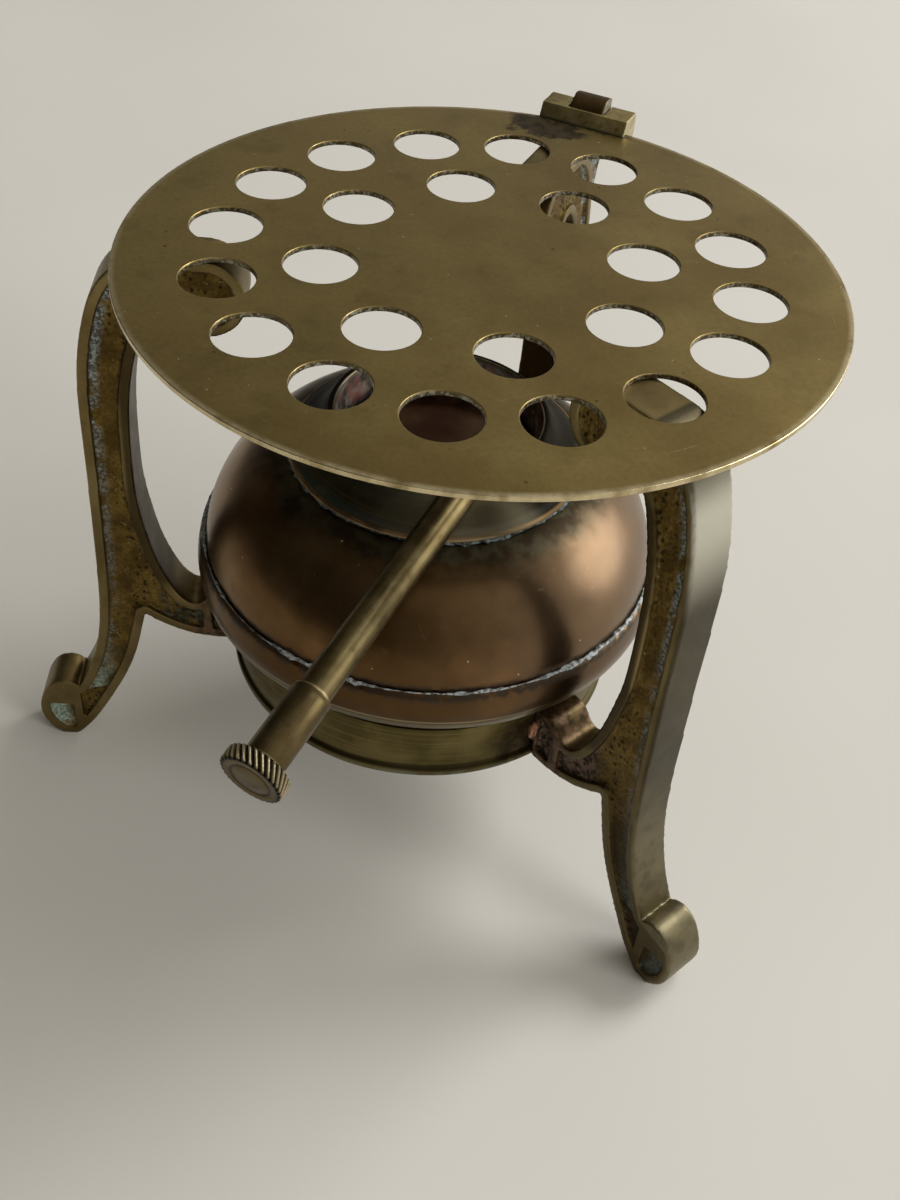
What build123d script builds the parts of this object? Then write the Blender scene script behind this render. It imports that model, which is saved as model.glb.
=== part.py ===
from build123d import *
from math import cos, hypot, pi, radians, sin, sqrt
import os

# Portable brass spirit stove: a three-legged stand, a hinged perforated plate and a spirit lamp.
# Millimetres, +Z up. The origin is on the ground under the lamp's axis.
# The back leg and the plate's hinge are toward +Y, and the lamp's handle points toward -Y.

# Fits
sheet_gap = 0.05  # between soldered or screwed pieces, on the radius
turning_gap = 0.05  # round a shaft that turns or slides
free_gap = 0.25  # between pieces that swing past each other
notch_gap = 0.25  # each side of the hinge lug

# Plate
plate_radius = 62.5
plate_thickness = 1.0
plate_shift_x = 5.3  # the plate's centre lies off the lamp's axis
plate_shift_y = 2.0
hole_radius = 6.35
outer_hole_circle = 45.3
outer_hole_count = 16
outer_hole_turn = 105.65  # degrees from +X to one hole
inner_hole_circle = 28.0
inner_hole_count = 8
inner_hole_turn = 122.8

# Stand
stand_height = 122.5  # ground to the underside of the plate
leg_turns = {"back_leg": 90.0, "left_leg": 205.4, "right_leg": 335.4}
leg_overhang = 3.5  # the outer face of a leg at mid height, outside the plate's radius
leg_width = 8.8
leg_thickness = 9.0
panel_rim = 2.0  # raised border round the sunk panel
panel_depth = 0.9
panel_step = 3.0  # spacing of the points that redraw the panel's curves
panel_bridge = 2.0  # raised bars that part off the panel's pockets
arm_pocket = 6.0  # bar in the arm, out from the ring
toe_pocket_height = 9.8
toe_pocket_set_in = 2.6  # bar beside the toe's pocket, inside the toe's middle
scroll_radius = 7.25
scroll_set_in = 24.1  # scroll centre inside the leg's outer face
toe_set_out = 12.2
toe_flat = 3.4

# Lamp ring
ring_radius = 39.2
ring_wall = 1.0
ring_bottom = 33.3
ring_height = 13.0
ring_bead = 0.7  # how far the folded lower edge stands out
ring_bead_height = 2.0
ring_seat_radius = 24.0  # opening in the ring's floor

# Hinge
hinge_pin_radius = 1.0
hinge_pin_rise = 0.5  # pin centre above the plate's top
hinge_lap = 1.6  # how far the knuckle bar reaches in over the plate
hinge_seat_depth = 0.2  # sunk into the plate's top under the bar
knuckle_length = 18.2
knuckle_rise = 2.5
knuckle_slope = 1.3
knuckle_drop = 2.4
knuckle_bevel = 0.6
knuckle_web = 0.6  # wall left in front of the lug
lug_radius = 3.9
lug_width = 7.4
lug_back = 1.9  # pin centre to the flat back of the lug and of the bar

# Tank
shell_wall = 0.8
tank_base_radius = 27.5
seam_radius = 44.4
seam_height = 62.8
belly_swell = 1.9  # belly outside the seam
belly_drop = 4.6  # widest point below the seam
lamp_side_gap = 0.8  # bowl to the inside of the ring
skirt_depth = 3.0
dome_top_radius = 27.5
dome_height = 20.8
dome_fullness = 1.7  # 2 is a plain ellipse, and less is flatter at the shoulder

# Neck and burner
neck_bore = 22.05
neck_wall = 2.45
neck_depth = 7.0
neck_flange = 2.3
neck_flange_thickness = 0.9
gasket_thickness = 0.5
gasket_outer = 27.0
lip_radius = 28.4
cone_sheet = 0.8
cone_rim_radius = 20.6
cone_rise = 8.2  # underside of the lip to the burner's rim
cone_hollow = 0.55
cup_bore = 18.75
cup_depth = 30.3
cup_flare = 0.7
cup_flare_height = 6.0
thread_depth = 6.6

# Wick
core_radius = 13.4
core_floor = 0.8
hub_radius = 3.0
hub_depth = 7.0
wick_count = 3
wick_width = 8.4
wick_thickness = 3.0
wick_side_gap = 0.25
wick_top_gap = 0.6
wick_tail_end = 2.0  # above the tank's inner floor

# Flame disc
disc_radius = 18.0
disc_thickness = 0.9
disc_drop = 6.5  # rim of the burner to the top of the lowered disc
stem_radius = 1.5
stem_length = 17.0

# Handle: one sloping axis that passes beside the lamp's axis
handle_turn = -94.0
handle_slope = 10.0
handle_offset = 13.63
handle_rise = 0.3  # where it passes the lamp's axis, above the burner's rim
tube_radius = 2.95
tube_wall = 0.6
tube_end = 79.0
ferrule_start = 65.2
ferrule_end = 79.5
ferrule_radius = 3.55
bush_length = 4.0
bush_start = 17.2
knob_start = 79.8
knob_thickness = 2.9
knob_radius = 5.6
knob_groove_radius = 3.5
knob_groove_width = 0.35
knob_groove_depth = 0.25
knurl_count = 30
knurl_depth = 0.35
knurl_slant = 24.0
knob_socket = 1.9

# Spindle, pinion and rack
spindle_radius = 1.0
collar_radius = 1.9
collar_length = 1.5
collar_gap = 0.4
gear_module = 0.4
pinion_teeth = 10
pinion_start = 3.9
pinion_length = 3.2
tooth_above = 0.38
tooth_below = 0.55
tooth_root_half = 0.36
tooth_tip_half = 0.12
rack_back = 1.4
rack_teeth_below = 4
rack_teeth_above = 1

# Heights and radii that follow from the sizes above
plate_top = stand_height + plate_thickness
leg_reach = plate_radius + leg_overhang
scroll_place = leg_reach - scroll_set_in
toe_place = leg_reach + toe_set_out
hinge_seat = plate_top - hinge_seat_depth
rim_y = plate_shift_y + sqrt(plate_radius**2 - plate_shift_x**2)
notch_radius = lug_radius + free_gap
knuckle_front = rim_y - hinge_lap
front_face = hypot(knuckle_rise, knuckle_slope)
pin_reach = ((notch_radius + knuckle_web) * front_face + hinge_pin_rise * knuckle_slope) / knuckle_rise
pin_y = knuckle_front + pin_reach
pin_height = plate_top + hinge_pin_rise
ring_inner = ring_radius - ring_wall
ring_top = ring_bottom + ring_height
lamp_floor = ring_bottom + ring_wall
belly_radius = seam_radius + belly_swell
tank_top = seam_height + dome_height
neck_outer = neck_bore + neck_wall
flange_height = tank_top + gasket_thickness
rim_height = flange_height + cone_rise
handle_height = rim_height + handle_rise
cup_outer = cup_bore + shell_wall
cup_bottom = rim_height - cup_depth
disc_top = rim_height - disc_drop
disc_under = disc_top - disc_thickness
core_bore = core_radius - shell_wall
tube_bore = tube_radius - tube_wall
pitch_radius = gear_module * pinion_teeth / 2
tooth_pitch = pi * gear_module
knob_end = knob_start + knob_thickness

STAND = (Align.CENTER, Align.CENTER, Align.MIN)


def handle_frame():
    # Origin at the handle axis's nearest point to the lamp's axis, z along the handle toward the knob.
    turn = radians(handle_turn)
    slope = radians(handle_slope)
    along = (cos(slope) * cos(turn), cos(slope) * sin(turn), -sin(slope))
    across = (-sin(turn), cos(turn), 0)
    origin = (handle_offset * across[0], handle_offset * across[1], handle_height)
    return Plane(origin=origin, x_dir=across, z_dir=along)


handle = handle_frame()


def rod(radius, start, end):
    return Pos(0, 0, start) * Cylinder(radius, end - start, align=STAND)


def pipe(outer, inner, start, end):
    return rod(outer, start, end) - rod(inner, start, end)


def turned(face):
    return revolve(Plane.XZ * face, Axis.Z)


def outline(*edges):
    return make_face(Curve() + list(edges))


def inset(points, wall):
    # The same curve, moved to its left by the wall.
    moved = []
    last = len(points) - 1
    for index, (across, up) in enumerate(points):
        before = points[max(index - 1, 0)]
        after = points[min(index + 1, last)]
        run = after[0] - before[0]
        rise = after[1] - before[1]
        length = hypot(run, rise)
        moved.append((across - wall * rise / length, up + wall * run / length))
    return moved


def top_plate():
    plate = rod(plate_radius, stand_height, plate_top)
    hole = rod(hole_radius, stand_height - 1, plate_top + 1)
    for count, circle, turn in (
        (outer_hole_count, outer_hole_circle, outer_hole_turn),
        (inner_hole_count, inner_hole_circle, inner_hole_turn),
    ):
        for index in range(count):
            angle = radians(turn + 360 * index / count)
            plate -= Pos(circle * cos(angle), circle * sin(angle), 0) * hole
    seat = Pos(0, knuckle_front, hinge_seat) * Box(
        knuckle_length + 2 * sheet_gap, 2 * hinge_lap, plate_thickness, align=(Align.CENTER, Align.MIN, Align.MIN)
    )
    return Pos(plate_shift_x, plate_shift_y, 0) * plate - seat - lug_space()


def across_rod(radius, length):
    # A rod along the hinge line.
    return Pos(0, pin_y, pin_height) * (Rot(0, 90, 0) * Cylinder(radius, length))


def lug_space():
    # Room for the lug between the two halves of the knuckle bar, and below and behind its eye.
    width = lug_width + 2 * notch_gap
    below = knuckle_drop + hinge_pin_rise + 1
    above = knuckle_rise + lug_radius
    back = pin_y + lug_back + 1
    corner = (Align.CENTER, Align.MIN, Align.MIN)
    behind = Pos(0, pin_y, pin_height) * Box(width, back - pin_y, above, align=corner)
    under = Pos(0, rim_y, pin_height - below) * Box(width, back - rim_y, below, align=corner)
    return across_rod(notch_radius, width) + behind + under


def hinge_knuckle():
    back = pin_y + lug_back
    points = [
        (knuckle_front, plate_top),
        (knuckle_front + knuckle_slope, plate_top + knuckle_rise),
        (back - knuckle_bevel, plate_top + knuckle_rise),
        (back, plate_top + knuckle_rise - knuckle_bevel),
        (back, plate_top - knuckle_drop),
        (knuckle_front, plate_top - knuckle_drop),
    ]
    bar = extrude(Plane.YZ * make_face(Polyline(*points, close=True)), knuckle_length / 2, both=True)
    rim = rod(plate_radius + sheet_gap, plate_top - knuckle_drop - 1, hinge_seat)
    bar -= Pos(plate_shift_x, plate_shift_y, 0) * rim
    bar -= lug_space()
    return bar - across_rod(hinge_pin_radius + sheet_gap / 2, knuckle_length + 2)


def hinge_pin():
    return across_rod(hinge_pin_radius, knuckle_length)


def leg_face():
    # Side view of a leg: first value from the lamp's axis outward, second value the height.
    top = stand_height
    out = leg_reach
    inside = leg_reach - leg_width
    arm = ring_radius
    low = ring_bottom
    rise = top - low
    gap = inside - arm
    scroll_height = top - scroll_radius
    meet = radians(-40)
    scroll_meet = (scroll_place + scroll_radius * cos(meet), scroll_height + scroll_radius * sin(meet))
    shoulder = (out - 14.0, top)
    nook = (toe_place - 3.6, 15.6)
    toe_front = (toe_place + toe_flat / 2, 0)
    toe_back = (toe_place - toe_flat / 2, 0)
    crotch = (inside + 1.0, low + 6.2)
    arm_low = (arm - 0.7, low + 0.5)
    arm_high = (arm - 0.7, low + ring_height - 0.5)
    outer = Spline(
        shoulder, (out - 11.1, top - 0.7), (out - 8.2, top - 2.7), (out - 5.4, top - 6.2),
        (out - 3.2, top - 11.6), (out - 1.4, top * 0.845), (out - 0.4, top * 0.776), (out - 0.1, top * 0.702),
        (out + 0.1, top * 0.620), (out + 0.4, top * 0.531), (out + 0.8, top * 0.433), (out + 1.4, top * 0.343),
        (out + 2.7, top * 0.261), (out + 5.2, top * 0.188), nook,
    )
    toe = Spline(
        nook, (toe_place - 1.6, 17.3), (toe_place + 1.4, 17.0), (toe_place + 4.4, 13.4),
        (toe_place + 5.7, 8.6), (toe_place + 4.8, 3.7), toe_front,
    )
    shank = Spline(
        toe_back, (toe_place - 5.2, 4.0), (out + 2.6, 11.2), (out - 1.4, 18.9), (out - 4.8, 27.4),
        (out - 6.8, 35.2), crotch,
    )
    arm_under = Spline(
        crotch, (arm + gap * 0.856, low + 3.7), (arm + gap * 0.622, low + 1.6), (arm + gap * 0.356, low + 0.4),
        arm_low,
    )
    inner = Spline(
        arm_high, (arm + gap * 0.144, low + 13.3), (arm + gap * 0.278, low + 12.7), (arm + gap * 0.361, low + 10.8),
        (arm + gap * 0.472, low + 9.8), (arm + gap * 0.594, low + 11.1), (arm + gap * 0.717, low + 14.8),
        (arm + gap * 0.828, low + 20.0), (inside - 1.4, low + rise * 0.307), (inside - 0.1, low + rise * 0.411),
        (inside, low + rise * 0.524), (inside - 0.5, low + rise * 0.647), (inside - 2.0, low + rise * 0.753),
        (inside - 3.6, low + rise * 0.816), (inside - 5.6, low + rise * 0.859), (inside - 7.9, low + rise * 0.874),
        scroll_meet,
    )
    scroll = ThreePointArc(
        scroll_meet, (scroll_place - scroll_radius, scroll_height), (scroll_place, top)
    )
    return outline(
        Line((scroll_place, top), shoulder), outer, toe, Line(toe_front, toe_back), shank, arm_under,
        Line(arm_low, arm_high), inner, scroll,
    )


def sunk_panel(face):
    # The outline drawn in by the rim, with a small pocket parted off in the arm's end and in the toe.
    edges = []
    for edge in offset(face, -panel_rim).faces()[0].outer_wire().edges():
        steps = max(2, round(edge.length / panel_step))
        points = [edge.position_at(step / steps) for step in range(steps + 1)]
        edges.append(Spline(*points))
    panel = outline(*edges)
    panel -= Pos(ring_radius + arm_pocket, 0) * Rectangle(panel_bridge, 2 * ring_top)
    panel -= Pos(toe_place - toe_pocket_set_in, 0) * Rectangle(panel_bridge, ring_bottom)
    corner = (Align.MIN, Align.MIN)
    return panel - Pos(toe_place - toe_pocket_set_in, toe_pocket_height) * Rectangle(ring_radius, ring_bottom, align=corner)


def leg_blank():
    face = leg_face()
    leg = extrude(Plane.XZ * face, leg_thickness / 2, both=True)
    panel = sunk_panel(face)
    side = leg_thickness / 2 - panel_depth
    for sign in (1, -1):
        cut = extrude(Plane.XZ.offset(sign * side) * panel, sign * (panel_depth + 1))
        leg -= cut
    leg -= rod(ring_radius + sheet_gap, 0, ring_top + sheet_gap)
    bead = ring_radius + ring_bead + sheet_gap
    return leg - rod(bead, 0, ring_bottom + ring_bead_height + sheet_gap)


def hinge_lug():
    # Bracket on the back leg's shoulder, with the hinge eye. Here X runs outward, as in the leg.
    top = stand_height
    back = pin_y + lug_back
    eye = Pos(pin_y, pin_height) * Circle(lug_radius)
    eye -= Pos(back, pin_height) * Rectangle(4 * lug_radius, 4 * lug_radius, align=(Align.MIN, Align.CENTER))
    stem = outline(
        Line((leg_reach - 5.6, top - 6.6), (pin_y - lug_radius * 0.8, pin_height - lug_radius * 0.6)),
        Line((pin_y - lug_radius * 0.8, pin_height - lug_radius * 0.6), (pin_y, pin_height)),
        Line((pin_y, pin_height), (back, pin_height)),
        Line((back, pin_height), (back, pin_height - 3.4)),
        Spline((back, pin_height - 3.4), (back - 1.6, top - 6.0), (leg_reach + 0.2, top - 12.6),
               (leg_reach - 1.7, top - 19.0), tangents=[(0, -1), (-0.25, -1)]),
        Line((leg_reach - 1.7, top - 19.0), (leg_reach - 5.6, top - 6.6)),
    )
    face = eye + stem
    lug = extrude(Plane.XZ * face, lug_width / 2, both=True)
    bore = Pos(pin_y, 0, pin_height) * (Rot(90, 0, 0) * Cylinder(hinge_pin_radius + turning_gap, 2 * lug_width))
    return lug - bore


def back_leg():
    return Rot(0, 0, leg_turns["back_leg"]) * (leg_blank() + hinge_lug())


def left_leg():
    return Rot(0, 0, leg_turns["left_leg"]) * leg_blank()


def right_leg():
    return Rot(0, 0, leg_turns["right_leg"]) * leg_blank()


def lamp_ring():
    band = pipe(ring_radius, ring_inner, ring_bottom, ring_top)
    bead = pipe(ring_radius + ring_bead, ring_inner, ring_bottom, ring_bottom + ring_bead_height)
    bead = fillet(bead.edges().group_by(SortBy.LENGTH)[-1], ring_bead * 0.9)
    floor = pipe(ring_radius, ring_seat_radius, ring_bottom, lamp_floor)
    return band + bead + floor


def tank_lower():
    # The waist stands inside the ring, and the belly stands over it.
    waist = ring_inner - lamp_side_gap
    side = [
        (tank_base_radius, lamp_floor),
        (tank_base_radius + 4.7, lamp_floor + 2.3),
        (waist - 1.8, ring_top - 5.1),
        (waist, ring_top - 0.3),
        (ring_radius + 1.8, ring_top + 3.6),
        (belly_radius - 1.1, seam_height - belly_drop - 4.2),
        (belly_radius, seam_height - belly_drop),
        (belly_radius - 0.6, seam_height - 0.6),
        (seam_radius + 0.1, seam_height + 0.3),
    ]
    inner = inset(side, shell_wall)
    inner[0] = (tank_base_radius, lamp_floor + shell_wall)
    face = outline(
        Line((0, lamp_floor), side[0]), Spline(*side), Line(side[-1], inner[-1]), Spline(*inner),
        Line(inner[0], (0, lamp_floor + shell_wall)), Line((0, lamp_floor + shell_wall), (0, lamp_floor)),
    )
    return turned(face) - rod(seam_radius + sheet_gap, seam_height - 3, tank_top)


def dome_side(reach, height):
    points = []
    for step in range(9):
        turn = radians(90 * step / 8)
        out = reach * cos(turn) ** (2 / dome_fullness)
        up = height * sin(turn) ** (2 / dome_fullness)
        points.append((dome_top_radius + out, seam_height + up))
    return Spline(*points, tangents=[(0, 1), (-1, 0)])


def tank_upper():
    reach = seam_radius - dome_top_radius
    hole = neck_outer + sheet_gap
    skirt = seam_height - skirt_depth
    outside = dome_side(reach, dome_height)
    inside = dome_side(reach - shell_wall, dome_height - shell_wall)
    under = tank_top - shell_wall
    face = outline(
        Line((seam_radius, skirt), (seam_radius, seam_height)), outside,
        Line((dome_top_radius, tank_top), (hole, tank_top)), Line((hole, tank_top), (hole, under)),
        Line((hole, under), (dome_top_radius, under)), inside,
        Line((seam_radius - shell_wall, seam_height), (seam_radius - shell_wall, skirt)),
        Line((seam_radius - shell_wall, skirt), (seam_radius, skirt)),
    )
    return turned(face)


def neck_bush():
    under = tank_top - shell_wall
    bush = pipe(neck_outer, neck_bore, tank_top - neck_depth, tank_top)
    return bush + pipe(neck_outer + neck_flange, neck_bore, under - neck_flange_thickness, under)


def burner_gasket():
    return pipe(gasket_outer, neck_bore + sheet_gap, tank_top, flange_height)


def burner_thread():
    return pipe(neck_bore - sheet_gap, cup_outer + sheet_gap, flange_height - thread_depth, flange_height)


def burner_cone():
    # A spun cone over a flat flange, joined at the bright lip.
    deck = flange_height + cone_sheet
    foot = lip_radius - 0.7
    bore = cup_outer + sheet_gap
    rim_bore = cup_outer + cup_flare - 0.3 + sheet_gap
    middle = ((foot + cone_rim_radius) / 2 - cone_hollow, (deck + rim_height) / 2 - cone_hollow)
    foot_inside = foot - 1.5 * cone_sheet
    middle_inside = (middle[0] - 0.7 * cone_sheet, middle[1] - 0.7 * cone_sheet)
    rim_inside = (rim_bore, rim_height - cone_sheet)
    face = outline(
        Line((bore, flange_height), (lip_radius, flange_height)),
        Line((lip_radius, flange_height), (lip_radius, deck - 0.2)),
        Line((lip_radius, deck - 0.2), (foot, deck + 0.1)),
        ThreePointArc((foot, deck + 0.1), middle, (cone_rim_radius, rim_height)),
        Line((cone_rim_radius, rim_height), (rim_bore, rim_height)),
        Line((rim_bore, rim_height), rim_inside),
        ThreePointArc(rim_inside, middle_inside, (foot_inside, deck)),
        Line((foot_inside, deck), (bore, deck)),
        Line((bore, deck), (bore, flange_height)),
    )
    return turned(face) - handle * rod(tube_radius + sheet_gap, 0, knob_start)


def burner_cup():
    flare_start = rim_height - cup_flare_height
    face = make_face(
        Polyline(
            (cup_bore, cup_bottom),
            (cup_outer, cup_bottom),
            (cup_outer, flare_start),
            (cup_outer + cup_flare - 0.3, rim_height),
            (cup_bore + cup_flare, rim_height),
            (cup_bore, flare_start),
            close=True,
        )
    )
    cup = turned(face)
    tube_space = handle * rod(tube_radius + sheet_gap, 0, knob_start)
    tube_space -= rod(cup_outer + sheet_gap, cup_bottom, rim_height + 10)
    return cup - tube_space - handle * rod(spindle_radius + free_gap, 0, knob_start)


def wick_slots(width, thickness, bottom, top):
    middle = (core_radius + cup_bore) / 2
    slots = []
    for index in range(wick_count):
        slot = Pos(middle, 0, bottom) * Box(thickness, width, top - bottom, align=STAND)
        slots.append(Rot(0, 0, leg_turns["back_leg"] + 360 * index / wick_count) * slot)
    return slots


def wick_core():
    floor_top = cup_bottom + core_floor
    core = pipe(core_radius, core_bore, cup_bottom, disc_under)
    core += rod(core_radius, disc_under - shell_wall, disc_under)
    core += rod(hub_radius, disc_under - hub_depth, disc_under)
    core += pipe(cup_bore - sheet_gap, core_bore, cup_bottom, floor_top)
    core -= rod(stem_radius + turning_gap, cup_bottom, disc_top)
    width = wick_width + 2 * wick_side_gap
    thickness = wick_thickness + 2 * wick_side_gap
    for slot in wick_slots(width, thickness, cup_bottom - 1, floor_top + 1):
        core -= slot
    return core


def wick():
    floor_top = cup_bottom + core_floor
    strands = pipe(cup_bore - wick_side_gap, core_radius + wick_side_gap, floor_top, disc_under - wick_top_gap)
    tail_end = lamp_floor + shell_wall + wick_tail_end
    for tail in wick_slots(wick_width, wick_thickness, tail_end, floor_top + 1):
        strands += tail
    return strands


def flame_disc():
    return rod(disc_radius, disc_under, disc_top)


def disc_stem():
    return rod(stem_radius, disc_under - stem_length, disc_under)


def tooth(start_half, end_half, start, end):
    # One tooth that points along +X, from its root to its tip.
    return make_face(
        Polyline((start, -start_half), (end, -end_half), (end, end_half), (start, start_half), close=True)
    )


def pinion():
    root = pitch_radius - tooth_below
    wheel = Circle(root)
    for index in range(pinion_teeth):
        place = Rot(0, 0, 360 * (index + 0.5) / pinion_teeth + 180)
        wheel += place * tooth(tooth_root_half, tooth_tip_half, root - 0.1, pitch_radius + tooth_above)
    wheel -= Circle(spindle_radius)
    return handle * (Pos(0, 0, pinion_start) * extrude(wheel, pinion_length))


def disc_rack():
    # Its teeth face the pinion and run parallel to the spindle. The foot is cut level on the disc.
    root = -pitch_radius - tooth_below
    low = -(rack_teeth_below + 3) * tooth_pitch
    high = (rack_teeth_above + 0.5) * tooth_pitch
    bar = Pos(root - rack_back, low) * Rectangle(rack_back, high - low, align=(Align.MIN, Align.MIN))
    for index in range(-rack_teeth_below, rack_teeth_above + 1):
        place = Pos(0, index * tooth_pitch)
        bar += place * tooth(tooth_root_half, tooth_tip_half, root - 0.1, tooth_above - pitch_radius)
    rack = handle * (Pos(0, 0, pinion_start) * extrude(bar, pinion_length))
    return rack - rod(disc_radius * 2, disc_top - disc_radius, disc_top)


def handle_tube():
    tube = handle * pipe(tube_radius, tube_bore, 0, tube_end)
    return tube - rod(cup_outer + sheet_gap, cup_bottom, rim_height + 10)


def handle_ferrule():
    return handle * pipe(ferrule_radius, tube_radius + sheet_gap / 2, ferrule_start, ferrule_end)


def bush(start):
    outer = tube_bore - sheet_gap / 2
    return handle * pipe(outer, spindle_radius + turning_gap, start, start + bush_length)


def inner_bush():
    return bush(bush_start)


def outer_bush():
    return bush(tube_end - bush_length)


def spindle():
    return handle * rod(spindle_radius, pinion_start - 0.4, knob_start + knob_socket)


def spindle_collar():
    start = bush_start + bush_length + collar_gap
    return handle * pipe(collar_radius, spindle_radius, start, start + collar_length)


def knob():
    disc = rod(knob_radius, knob_start, knob_end)
    half_width = knob_groove_width / 2
    groove = pipe(
        knob_groove_radius + half_width, knob_groove_radius - half_width, knob_end - knob_groove_depth, knob_end + 1
    )
    middle = (knob_start + knob_end) / 2
    cutter = Pos(knob_radius, 0, middle) * (
        Rot(knurl_slant, 0, 0) * (Rot(0, 0, 45) * Box(knurl_depth * 1.4, knurl_depth * 1.4, 3 * knob_thickness))
    )
    disc -= groove
    for index in range(knurl_count):
        disc -= Rot(0, 0, 360 * index / knurl_count) * cutter
    return handle * (disc - rod(spindle_radius, knob_start - 1, knob_start + knob_socket))


PIECES = (
    back_leg, left_leg, right_leg, lamp_ring,
    top_plate, hinge_knuckle, hinge_pin,
    tank_lower, tank_upper, neck_bush, burner_gasket, burner_thread, burner_cone, burner_cup,
    wick_core, wick, handle_tube, handle_ferrule, inner_bush, outer_bush,
    knob, spindle, spindle_collar, pinion,
    flame_disc, disc_stem, disc_rack,
)

os.makedirs("parts", exist_ok=True)
for piece in PIECES:
    shape = piece()
    export_step(shape, f"parts/{piece.__name__}.step")
    print(piece.__name__, round(shape.volume, 1))
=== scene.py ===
import math

import bpy
import numpy as np
from mathutils import Matrix, Vector, noise


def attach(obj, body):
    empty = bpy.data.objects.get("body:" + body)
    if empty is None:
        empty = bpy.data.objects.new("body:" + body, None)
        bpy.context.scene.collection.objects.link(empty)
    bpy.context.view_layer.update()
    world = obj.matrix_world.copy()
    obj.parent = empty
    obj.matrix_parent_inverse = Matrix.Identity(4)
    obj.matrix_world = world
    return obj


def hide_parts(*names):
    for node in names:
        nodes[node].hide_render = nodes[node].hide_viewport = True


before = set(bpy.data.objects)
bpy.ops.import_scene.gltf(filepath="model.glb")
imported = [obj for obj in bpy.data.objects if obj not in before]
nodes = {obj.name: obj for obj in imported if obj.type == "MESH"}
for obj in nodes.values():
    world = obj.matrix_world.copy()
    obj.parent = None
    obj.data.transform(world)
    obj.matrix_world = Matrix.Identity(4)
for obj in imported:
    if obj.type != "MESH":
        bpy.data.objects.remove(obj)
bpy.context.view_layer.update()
# The frame is in metres and the values here are in mm; points nearer than weld, in metres, are merged.
mm = 0.001
weld = 2e-6
print("stage: frame loaded,", len(nodes), "CAD nodes")

# Modelling helpers.


def deselectAll():
    for thing in bpy.context.selected_objects:
        thing.select_set(False)


def makeActive(piece):
    deselectAll()
    piece.select_set(True)
    bpy.context.view_layer.objects.active = piece


def applyModifier(piece, kind, **settings):
    makeActive(piece)
    modifier = piece.modifiers.new(kind.lower(), kind)
    for name, value in settings.items():
        setattr(modifier, name, value)
    bpy.ops.object.modifier_apply(modifier=modifier.name)


def smooth(piece, degrees=35):
    makeActive(piece)
    bpy.ops.object.shade_smooth_by_angle(angle=math.radians(degrees))


def softenEdges(piece, width, degrees):
    applyModifier(
        piece, "BEVEL", width=width * mm, segments=3, limit_method="ANGLE",
        angle_limit=math.radians(degrees), harden_normals=False,
    )


def spinShape(name, profile, steps):
    # A chain of points, radius and height in mm, is drawn by extruding and spun round the Z axis.
    deselectAll()
    bpy.ops.mesh.primitive_plane_add(size=mm, location=(0, 0, 0))
    piece = bpy.context.object
    piece.name = name
    bpy.ops.object.mode_set(mode="EDIT")
    bpy.ops.mesh.select_all(action="SELECT")
    bpy.ops.mesh.merge(type="CENTER")
    radius, height = profile[0]
    bpy.ops.transform.translate(value=(radius * mm, 0, height * mm))
    for before, after in zip(profile, profile[1:]):
        step = ((after[0] - before[0]) * mm, 0, (after[1] - before[1]) * mm)
        bpy.ops.mesh.extrude_region_move(TRANSFORM_OT_translate={"value": step})
    bpy.ops.mesh.select_all(action="SELECT")
    bpy.ops.mesh.spin(steps=steps, angle=2 * math.pi, center=(0, 0, 0), axis=(0, 0, 1))
    bpy.ops.mesh.select_all(action="SELECT")
    bpy.ops.mesh.remove_doubles(threshold=weld)
    bpy.ops.mesh.normals_make_consistent(inside=False)
    bpy.ops.object.mode_set(mode="OBJECT")
    return piece


def copyNode(node, name):
    # A merged copy of a CAD node's triangles, to be worked on.
    piece = nodes[node].copy()
    piece.data = nodes[node].data.copy()
    piece.name = name
    piece.parent = None
    for key in list(piece.keys()):
        del piece[key]
    bpy.context.scene.collection.objects.link(piece)
    makeActive(piece)
    bpy.ops.object.mode_set(mode="EDIT")
    bpy.ops.mesh.select_all(action="SELECT")
    bpy.ops.mesh.remove_doubles(threshold=weld)
    bpy.ops.object.mode_set(mode="OBJECT")
    return piece


def readVectors(piece, kind):
    vectors = np.zeros(len(piece.data.vertices) * 3, np.float32)
    piece.data.vertices.foreach_get(kind, vectors)
    return vectors.reshape(-1, 3).astype(float)


def readPoints(piece):
    # In mm, as writePoints takes them.
    return readVectors(piece, "co") / mm


def writePoints(piece, points):
    piece.data.vertices.foreach_set("co", (points * mm).astype(np.float32).ravel())
    piece.data.update()


def addAttribute(piece, name, values):
    made = piece.data.attributes.new(name, "FLOAT", "POINT")
    made.data.foreach_set("value", np.asarray(values, np.float32))


def roughNoise(points, size, seed):
    # Noise in about -1 to 1 at each point, for features of the given size in mm.
    shift = Vector((seed, seed * 1.7, -seed))
    return np.array([noise.noise(Vector(point) / size + shift) for point in points])


def finishPiece(piece, body, slotName, material, *replaced):
    piece.data.materials.clear()
    piece.data.materials.append(material)
    makeActive(piece)
    bpy.ops.object.transform_apply(location=True, rotation=True, scale=True)
    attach(piece, body)
    if replaced:
        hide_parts(*replaced)


def turnPiece(name, profile, steps, degrees, *finishing):
    # A spun piece that needs no more work.
    piece = spinShape(name, profile, steps)
    smooth(piece, degrees)
    finishPiece(piece, *finishing)


# Shader helpers.


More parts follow.
